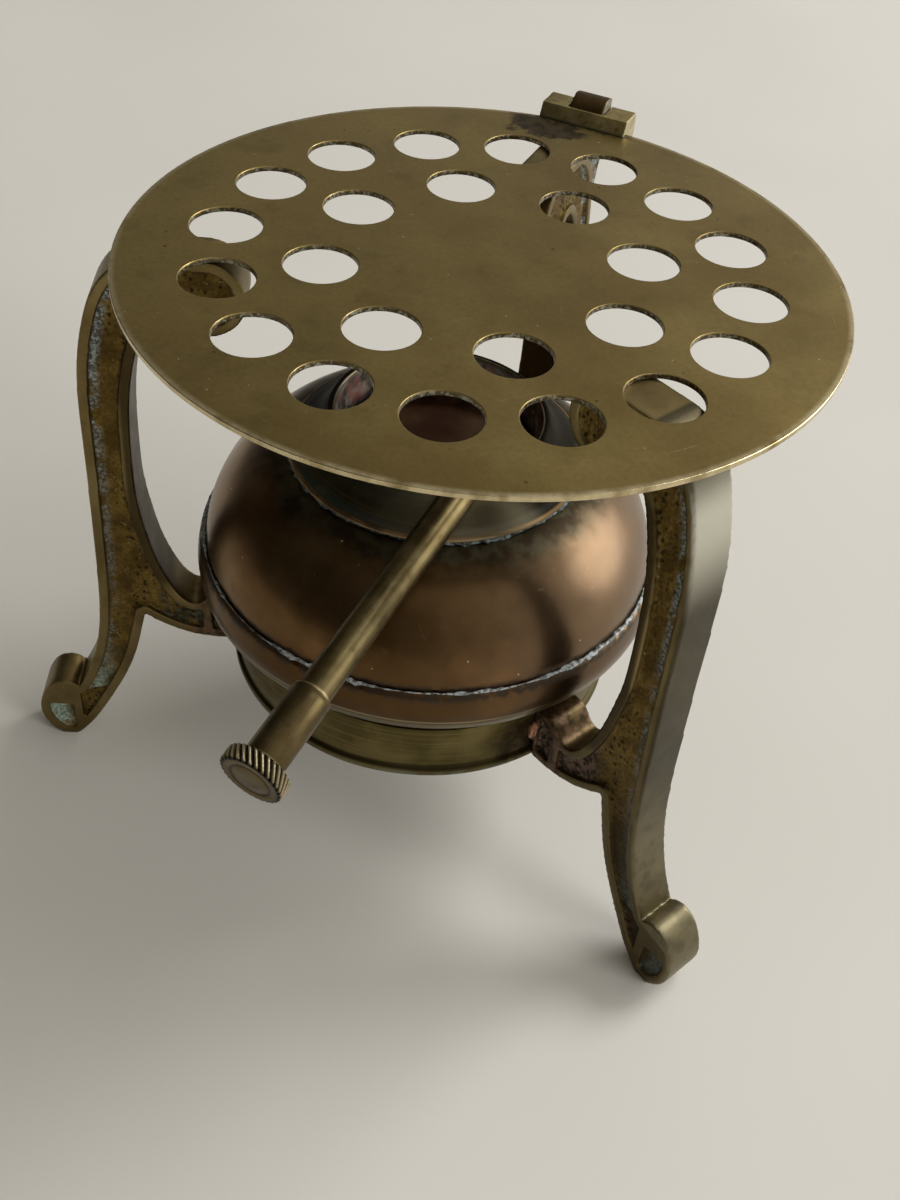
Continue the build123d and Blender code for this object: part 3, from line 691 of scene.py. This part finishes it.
def makeLeg(node, material):
    piece = copyNode(node, node.replace("_leg", "Leg"))
    applyModifier(piece, "REMESH", mode="VOXEL", voxel_size=leg["voxel"] * mm, use_smooth_shade=True)
    applyModifier(piece, "SMOOTH", factor=0.5, iterations=leg["rounding"])
    points = readPoints(piece)
    normals = readVectors(piece, "normal")
    turn = math.radians(leg["turns"][node])
    outward = np.array([math.cos(turn), math.sin(turn), 0])
    sideways = np.array([-math.sin(turn), math.cos(turn), 0])
    side = np.abs(points @ sideways)
    facing = np.abs(normals @ sideways)
    half = leg["thickness"] / 2
    panel = np.clip((half - leg["panelDepth"] * 0.35 - side) / (leg["panelDepth"] * 0.3), 0, 1)
    panel *= np.clip((facing - 0.35) / 0.3, 0, 1) * (side > half - leg["panelDepth"] * 1.5)
    heights, reaches = zip(*leg["outerFace"])
    fromOutside = np.interp(points[:, 2], heights, reaches) - points @ outward
    chosen = panel > 0.01
    pits = np.zeros(len(points))
    pits[chosen] = -np.abs(roughNoise(points[chosen], leg["pitSize"], 3.0)) * 1.6 * leg["pitDepth"]
    pits[chosen] += roughNoise(points[chosen], leg["pitSize"] * 0.45, 8.0) * leg["grainDepth"]
    worn = roughNoise(points, 6.0, 5.0) * leg["wear"]
    writePoints(piece, points + normals * (pits * panel + worn * (1 - panel))[:, None])
    addAttribute(piece, "panel", panel)
    addAttribute(piece, "outward", fromOutside)
    addAttribute(piece, "crease", hollowness(piece, 6))
    finishPiece(piece, "stand", "cast_brass", material, node)


plainLeg = legFinish("legBrass", False)
lugLeg = legFinish("backLegBrass", True)
for node in leg["turns"]:
    makeLeg(node, lugLeg if node == "back_leg" else plainLeg)

print("stage: lamp ring")
ring = {
    "outer": 39.2, "inner": 38.2, "bottom": 33.3, "top": 46.3, "seat": 24.0, "sheet": 1.0,
    "beadOut": 0.35, "beadWidth": 0.38, "beadHalf": 0.98,
}


def makeRing():
    outer, inner, bottom, top = ring["outer"], ring["inner"], ring["bottom"], ring["top"]
    seat, inside = ring["seat"], bottom + ring["sheet"]
    bead = []
    for degrees in range(0, 181, 20):
        turn = math.radians(degrees)
        out = outer + ring["beadOut"] + ring["beadWidth"] * math.sin(turn)
        bead.append((out, inside - ring["beadHalf"] * math.cos(turn)))
    profile = [
        (seat, bottom), (outer - 0.4, bottom), *bead, (outer, bottom + 2.3), (outer, top - 0.35),
        (outer - 0.15, top - 0.08), (outer - 0.5, top), (inner + 0.15, top - 0.08), (inner, top - 0.35),
        (inner, inside), (seat, inside), (seat, bottom),
    ]
    piece = spinShape("lampRing", profile, 160)
    points = readPoints(piece)
    radial = points / np.maximum(np.linalg.norm(points[:, :2], axis=1), 1e-6)[:, None] * (1, 1, 0)
    writePoints(piece, points + radial * (roughNoise(points, 14.0, 2.0) * 0.12)[:, None])
    smooth(piece)
    finishPiece(piece, "stand", "spun_brass", ringFinish(), "lamp_ring")


makeRing()

print("stage: plate")
plate = {
    "centre": (5.3, 2.0), "radius": 62.5, "bottom": 122.5, "thickness": 1.0,
    "holeRadius": 6.35, "rings": ((16, 45.3, 105.65), (8, 28.0, 122.8)),
    "edge": 0.24, "notchHalf": 3.95, "notchStart": 64.14,
}


def cylinder(radius, depth, place, sides):
    deselectAll()
    bpy.ops.mesh.primitive_cylinder_add(
        vertices=sides, radius=radius * mm, depth=depth * mm, location=[value * mm for value in place]
    )
    return bpy.context.object


def makePlate():
    middle = plate["bottom"] + plate["thickness"] / 2
    piece = cylinder(plate["radius"], plate["thickness"], (*plate["centre"], middle), 256)
    piece.name = "topPlate"
    cutters = []
    for count, circle, start in plate["rings"]:
        for index in range(count):
            angle = math.radians(start + 360 * index / count)
            x = plate["centre"][0] + circle * math.cos(angle)
            y = plate["centre"][1] + circle * math.sin(angle)
            cutters.append(cylinder(plate["holeRadius"], 4, (x, y, middle), 72))
    bpy.ops.mesh.primitive_cube_add(size=1, location=(0, (plate["notchStart"] + 2) * mm, middle * mm))
    notch = bpy.context.object
    notch.scale = (2 * plate["notchHalf"] * mm, 4 * mm, 4 * mm)
    cutters.append(notch)
    deselectAll()
    for cutter in cutters:
        cutter.select_set(True)
    bpy.context.view_layer.objects.active = cutters[0]
    bpy.ops.object.join()
    applyModifier(piece, "BOOLEAN", operation="DIFFERENCE", object=cutters[0], solver="EXACT")
    bpy.data.objects.remove(cutters[0])
    softenEdges(piece, plate["edge"], 40)
    smooth(piece, 30)
    applyModifier(piece, "WEIGHTED_NORMAL", keep_sharp=True)
    finishPiece(piece, "plate", "plate_brass", plateFinish(), "top_plate")


makePlate()

print("stage: hinge")
hinge = {"edge": 0.28}


def makeHinge():
    piece = copyNode("hinge_knuckle", "hingeBar")
    softenEdges(piece, hinge["edge"], 25)
    smooth(piece, 35)
    finishPiece(piece, "plate", "hinge_brass", hingeFinish(), "hinge_knuckle")


makeHinge()

print("stage: tank")
tank = {
    "floor": 34.3, "base": 27.5, "waist": 37.4, "ringTop": 46.3, "ringRadius": 39.2, "band": 56.6,
    "seamRadius": 44.4, "seam": 62.8, "overlap": 3.0, "belly": 46.3, "bellyDrop": 4.6, "wall": 0.8,
    "domeRadius": 27.5, "domeHeight": 20.8, "domeSteps": 40, "fullness": 1.7, "neck": 24.55,
    "dent": 0.22, "dentFrom": 47.0,
}


def makeTank():
    floor, waist, top, seam = tank["floor"], tank["waist"], tank["ringTop"], tank["seam"]
    base, belly, joint, wall = tank["base"], tank["belly"], tank["seamRadius"], tank["wall"]
    wide = seam - tank["bellyDrop"]
    side = throughPoints([
        (base, floor), (base + 4.7, floor + 2.3), (waist - 1.8, top - 5.1), (waist, top - 0.3),
        (tank["ringRadius"] + 1.8, top + 3.6), (belly - 1.1, wide - 4.2), (belly, wide),
        (belly - 0.6, seam - 0.6),
    ])
    lip = [(joint + 0.75, seam + 0.1), (joint + 0.35, seam + 0.3), (joint + 0.06, seam + 0.05)]
    inside = [(radius - wall, height + 0.2) for radius, height in reversed(side[6:-4])]
    profile = [
        (0, floor), *side, *lip, (joint + 0.06, seam - 3.2), *inside, (base, floor + wall), (0, floor + wall),
    ]
    lower = spinShape("tankBowl", profile, 160)
    reach = joint - tank["domeRadius"]
    power = 2 / tank["fullness"]
    dome = []
    for step in range(tank["domeSteps"] + 1):
        turn = math.radians(90 * step / tank["domeSteps"])
        dome.append((
            tank["domeRadius"] + reach * max(math.cos(turn), 0) ** power,
            seam + tank["domeHeight"] * math.sin(turn) ** power,
        ))
    inner = [(radius - wall * 0.9, height - wall * 0.9) for radius, height in reversed(dome[1:])]
    crown = seam + tank["domeHeight"]
    skirt = seam - tank["overlap"]
    profile = [
        (joint, skirt), *dome, (tank["neck"], crown), (tank["neck"], crown - wall), *inner,
        (joint - wall, seam), (joint - wall, skirt), (joint, skirt),
    ]
    upper = spinShape("tankDome", profile, 160)
    copper = copperFinish()
    for piece, node in ((lower, "tank_lower"), (upper, "tank_upper")):
        points = readPoints(piece)
        normals = readVectors(piece, "normal")
        height = points[:, 2]
        free = np.clip(np.abs(height - seam) / 5.0, 0, 1) * np.clip((height - tank["dentFrom"]) / 4.0, 0, 1)
        free *= np.clip((crown - height) / 4.0, 0, 1)
        dents = np.minimum(roughNoise(points, 15.0, 4.0) * tank["dent"], 0.05)
        writePoints(piece, points + normals * (dents * free)[:, None])
        smooth(piece, 40)
        finishPiece(piece, "lamp", "copper", copper, node)


makeTank()

print("stage: seam and neck crusts")
crusts = {
    "seamCrust": {
        "radius": 44.85, "height": 62.95, "width": 0.7, "grain": 0.9, "gaps": 9.0, "seed": 1.0,
        "finish": "seamVerdigris", "dark": (92, 92, 84), "pale": (186, 192, 192),
    },
    "neckCrust": {
        "radius": 28.0, "height": 83.85, "width": 0.8, "grain": 1.2, "gaps": 12.0, "seed": 5.0,
        "finish": "neckVerdigris", "dark": (36, 38, 34), "pale": (128, 140, 140),
    },
}


def makeCrust(name, radius, height, width, grain, gaps, seed, finish, dark, pale):
    # Grains of solder and verdigris in a crease: a thin ring whose section swells and fades.
    deselectAll()
    bpy.ops.mesh.primitive_torus_add(
        major_segments=900, minor_segments=10, major_radius=radius * mm, minor_radius=width * mm,
        location=(0, 0, height * mm),
    )
    piece = bpy.context.object
    piece.name = name
    bpy.ops.object.transform_apply(location=True, rotation=True, scale=True)
    points = readPoints(piece)
    angle = np.arctan2(points[:, 1], points[:, 0])
    centre = np.stack([radius * np.cos(angle), radius * np.sin(angle), np.full(len(angle), height)], 1)
    swell = 0.55 + 0.9 * roughNoise(points, grain, seed) + 0.5 * roughNoise(points, grain * 0.4, seed + 3)
    broad = roughNoise(centre, gaps, seed + 9)
    swell = np.clip(swell, 0.3, 1.4) * np.clip(0.78 + broad * 1.4, 0.3, 1.0)
    writePoints(piece, centre + (points - centre) * swell[:, None])
    smooth(piece, 60)
    finishPiece(piece, "lamp", "copper", crustFinish(finish, dark, pale))


for name, crust in crusts.items():
    makeCrust(name, **crust)

print("stage: burner")
burner = {
    "deck": 84.1, "sheet": 0.8, "lip": 28.4, "rim": 20.6, "rimHeight": 92.3, "hollow": 0.55, "bore": 18.75,
    "cupBottom": 62.0, "flareHeight": 6.0, "steps": 144,
}
disc = {
    "profile": [
        (0, 84.95), (17.6, 84.95), (17.9, 85.1), (18.0, 85.35), (17.9, 85.65), (17.6, 85.8), (14, 85.85),
        (6, 85.95), (0, 86.0),
    ],
    "steps": 128,
}


def makeBurner():
    deck, sheet, lip, rim = burner["deck"], burner["sheet"], burner["lip"], burner["rimHeight"]
    foot = lip - 0.7
    bend = ((foot + burner["rim"]) / 2 - burner["hollow"], (deck + sheet + rim) / 2 - burner["hollow"])
    cone = throughPoints([(foot - 0.1, deck + 0.95), bend, (burner["rim"] + 0.1, rim - 0.15)], 8)
    bore = burner["bore"] + 0.85
    profile = [
        (bore, deck), (lip - 0.25, deck), (lip, deck + 0.2), (lip, deck + 0.45), (lip - 0.2, deck + 0.75),
        (lip - 0.5, deck + 0.88), *cone, (burner["rim"] - 0.15, rim), (bore + 0.4, rim),
        (bore + 0.4, rim - sheet), (foot - 1.4, deck + sheet), (bore, deck + sheet), (bore, deck),
    ]
    turnPiece("burnerCone", profile, burner["steps"], 40, "lamp", "spun_brass", coneFinish(), "burner_cone")
    bore, low = burner["bore"], burner["cupBottom"]
    flareStart = rim - burner["flareHeight"]
    profile = [
        (bore, low), (bore + sheet, low), (bore + sheet, flareStart), (bore + 1.2, rim - 0.2),
        (bore + 1.1, rim), (bore + 0.85, rim), (bore + 0.7, rim - 0.2), (bore, flareStart), (bore, low),
    ]
    turnPiece("burnerCup", profile, burner["steps"], 40, "lamp", "spun_brass", cupFinish(), "burner_cup")


def makeDisc():
    turnPiece(
        "flameDisc", disc["profile"], disc["steps"], 50, "disc", "burnt_brass", discFinish(), "flame_disc"
    )


makeBurner()
makeDisc()

print("stage: handle")
tube = {
    "radius": 2.95, "bore": 2.35, "start": 13.0, "rows": (30, 48), "end": 79.0, "cup": 19.6,
    "ferruleStart": 65.2, "ferruleEnd": 79.5, "ferruleRadius": 3.55,
}
knob = {
    "start": 79.8, "end": 82.7, "radius": 5.6, "groove": 3.5, "sides": 300,
    "ridges": 30, "depth": 0.46, "slant": 36.0, "tip": 0.2, "rootRadius": 5.05, "rootBlend": 0.35,
}


def trimToCup(piece):
    # Draws the tube's inner end back along the tube to the outside of the cup, as in the CAD.
    makeActive(piece)
    bpy.ops.object.transform_apply(location=True, rotation=True, scale=True)
    points = readPoints(piece)
    along = np.array(handlePlace.col[2][:3])
    flat = points[:, :2]
    short = np.sum(flat * flat, axis=1) - tube["cup"] ** 2
    lean = flat @ along[:2]
    reach = along[:2] @ along[:2]
    inside = (short < 0) & (points[:, 1] < 0)
    step = (np.sqrt(np.maximum(lean ** 2 - reach * short, 0)) - lean) / reach
    writePoints(piece, points + np.where(inside, step, 0)[:, None] * along)


def makeHandle():
    brass = handleFinish()
    bore, outside, start, end = tube["bore"], tube["radius"], tube["start"], tube["end"]
    profile = [
        (bore, start), (outside, start), *((outside, row) for row in tube["rows"]), (outside, end),
        (bore, end), (bore, start),
    ]
    piece = spinShape("handleTube", profile, 64)
    smooth(piece)
    toHandle(piece)
    trimToCup(piece)
    finishPiece(piece, "lamp", "handle_brass", brass, "handle_tube")
    start, end, radius = tube["ferruleStart"], tube["ferruleEnd"], tube["ferruleRadius"]
    inside = outside + 0.02
    profile = [
        (inside, start), (radius - 0.35, start), (radius - 0.05, start + 0.2), (radius + 0.02, start + 0.5),
        (radius - 0.05, start + 0.85), (radius - 0.1, start + 1.1), (radius, start + 1.5),
        (radius, end - 0.3), (radius - 0.12, end - 0.06), (radius - 0.4, end), (inside, end), (inside, start),
    ]
    piece = spinShape("handleFerrule", profile, 72)
    smooth(piece)
    toHandle(piece)
    finishPiece(piece, "lamp", "handle_brass", brass, "handle_ferrule")


def makeKnob():
    start, end, radius, groove = knob["start"], knob["end"], knob["radius"], knob["groove"]
    rows = [(radius, start + 0.35 + (end - start - 0.7) * step / 10) for step in range(11)]
    profile = [
        (0, start), (radius - 0.6, start), (radius - 0.15, start + 0.12), *rows, (radius - 0.15, end - 0.12),
        (radius - 0.6, end), (groove + 0.3, end), (groove + 0.12, end - 0.16), (groove - 0.12, end - 0.16),
        (groove - 0.3, end), (1.5, end), (0, end),
    ]
    piece = spinShape("knurledKnob", profile, knob["sides"])
    points = readPoints(piece)
    reach = np.linalg.norm(points[:, :2], axis=1)
    angle = np.arctan2(points[:, 1], points[:, 0])
    phase = angle + math.tan(math.radians(knob["slant"])) * (points[:, 2] - start) / radius
    wave = np.abs((phase * knob["ridges"] / (2 * math.pi)) % 1.0 - 0.5) * 2
    atRim = np.clip((reach - knob["rootRadius"]) / knob["rootBlend"], 0, 1)
    cut = np.clip((wave - knob["tip"]) / (1 - knob["tip"]), 0, 1) * knob["depth"] * atRim
    shrink = 1 - cut / np.maximum(reach, 1e-6)
    points[:, 0] *= shrink
    points[:, 1] *= shrink
    writePoints(piece, points)
    smooth(piece, 42)
    toHandle(piece)
    finishPiece(piece, "regulator", "handle_brass", handleFinish(), "knob")


makeHandle()
makeKnob()

print("stage: brazing at the ring")
braze = {"radius": 39.6, "height": 42.0, "beside": 6.6, "rise": 1.2, "size": (1.1, 1.1, 2.6)}


def makeBraze(name, place, seed, material):
    deselectAll()
    bpy.ops.mesh.primitive_ico_sphere_add(subdivisions=4, radius=1.0, location=(0, 0, 0))
    piece = bpy.context.object
    piece.name = name
    points = readPoints(piece) * mm
    lumps = 1 + 0.28 * roughNoise(points * 1.6, 1.0, seed) + 0.10 * roughNoise(points * 4.5, 1.0, seed + 2)
    writePoints(piece, points * lumps[:, None] * np.array(braze["size"]) + np.array(place))
    smooth(piece, 60)
    finishPiece(piece, "stand", "cast_brass", material)


def makeBrazes():
    material = brazeFinish()
    for index, turn in enumerate(leg["turns"].values()):
        for side, letter in ((-1, "a"), (1, "b")):
            angle = math.radians(turn) + side * math.radians(braze["beside"])
            place = (
                braze["radius"] * math.cos(angle), braze["radius"] * math.sin(angle),
                braze["height"] + side * braze["rise"],
            )
            makeBraze(f"braze{index}{letter}", place, 3.0 + index + side, material)


makeBrazes()

print("stage: finishes on the CAD nodes that stay")
kept = {
    hingeFinish: ["hinge_pin"],
    turnedFinish: [
        "neck_bush", "burner_thread", "inner_bush", "outer_bush", "spindle_collar", "pinion", "disc_stem",
        "disc_rack",
    ],
    gasketFinish: ["burner_gasket"],
    cupFinish: ["wick_core"],
    cottonFinish: ["wick"],
    steelFinish: ["spindle"],
}
for makeFinish, names in kept.items():
    material = makeFinish()
    for node in names:
        nodes[node].data.materials.clear()
        nodes[node].data.materials.append(material)

print("stage: floor, lights and camera")
studio = {
    "floorSize": 3.0, "floorTones": ((0.655, 0.632, 0.578), (0.685, 0.662, 0.608)),
    "paleSide": (0.70, 0.67, 0.60), "darkSide": (0.078, 0.074, 0.066), "backdrop": (0.62, 0.60, 0.55),
    "paleTowards": (0.90, 0.36, 0.24), "worldStrength": 0.80, "lampTarget": (0, 0, 0.06),
}
# Places and sizes in metres, power in watts; a lamp that isn't mirrored lights, but shows in no reflection.
lamps = {
    "window": {"place": (1.05, 1.50, 1.80), "size": 1.25, "power": 33.0, "mirrored": True},
    "sideWindow": {"place": (2.50, -0.40, 1.15), "size": 1.3, "power": 33.0, "mirrored": False},
    "lowWindow": {"place": (2.10, 1.60, 0.75), "size": 1.8, "power": 26.0, "mirrored": True},
}
# The camera that was fitted to the photograph: its place in mm and its three directions.
photoCamera = {
    "place": (76.03, -186.33, 235.68), "lens": 39.3, "sensor": 36,
    "right": (0.90594, 0.41674, 0.07481), "down": (0.33836, -0.60639, -0.71958),
    "ahead": (-0.25451, 0.67721, -0.69037),
}


def makeFloor():
    deselectAll()
    bpy.ops.mesh.primitive_plane_add(size=studio["floorSize"], location=(0, 0, 0))
    floor = bpy.context.object
    floor.name = "floor"
    floor.data.materials.append(floorFinish())


def makeWorld():
    # Dark on one side and pale on the other, for reflections; the camera sees a plain backdrop.
    world = bpy.data.worlds.new("studio")
    world.use_nodes = True
    world.node_tree.nodes.clear()
    sky = Wire(world.node_tree, None)
    towards = sky.node("ShaderNodeTexCoord")
    along = sky.node(
        "ShaderNodeVectorMath", {"operation": "DOT_PRODUCT"}, {0: towards, 1: studio["paleTowards"]}, 1
    )
    around = sky.mix(along.between(-0.55, 0.75), studio["darkSide"], studio["paleSide"])
    colour = sky.mix(sky.node("ShaderNodeLightPath"), around, studio["backdrop"])
    background = sky.node(
        "ShaderNodeBackground", None, {"Color": colour, "Strength": studio["worldStrength"]}
    )
    out = world.node_tree.nodes.new("ShaderNodeOutputWorld")
    world.node_tree.links.new(background.socket, out.inputs["Surface"])
    bpy.context.scene.world = world


def addLamp(name, place, size, power, mirrored):
    light = bpy.data.lights.new(name, "AREA")
    light.shape = "DISK"
    light.size = size
    light.energy = power
    holder = bpy.data.objects.new(name, light)
    bpy.context.scene.collection.objects.link(holder)
    holder.location = place
    aim = Vector(studio["lampTarget"]) - Vector(place)
    holder.rotation_euler = aim.to_track_quat("-Z", "Y").to_euler()
    holder.visible_glossy = mirrored


def makeCamera():
    camera = bpy.data.cameras.new("photoCamera")
    camera.sensor_fit = "VERTICAL"
    camera.sensor_height = photoCamera["sensor"]
    camera.lens = photoCamera["lens"]
    holder = bpy.data.objects.new("photoCamera", camera)
    bpy.context.scene.collection.objects.link(holder)
    turned = Matrix((
        Vector(photoCamera["right"]), -Vector(photoCamera["down"]), -Vector(photoCamera["ahead"])
    )).transposed().to_4x4()
    turned.translation = Vector(photoCamera["place"]) * mm
    holder.matrix_world = turned
    bpy.context.scene.camera = holder


makeFloor()
makeWorld()
for name, lamp in lamps.items():
    addLamp(name, **lamp)
makeCamera()
bpy.context.scene.view_settings.view_transform = "Standard"
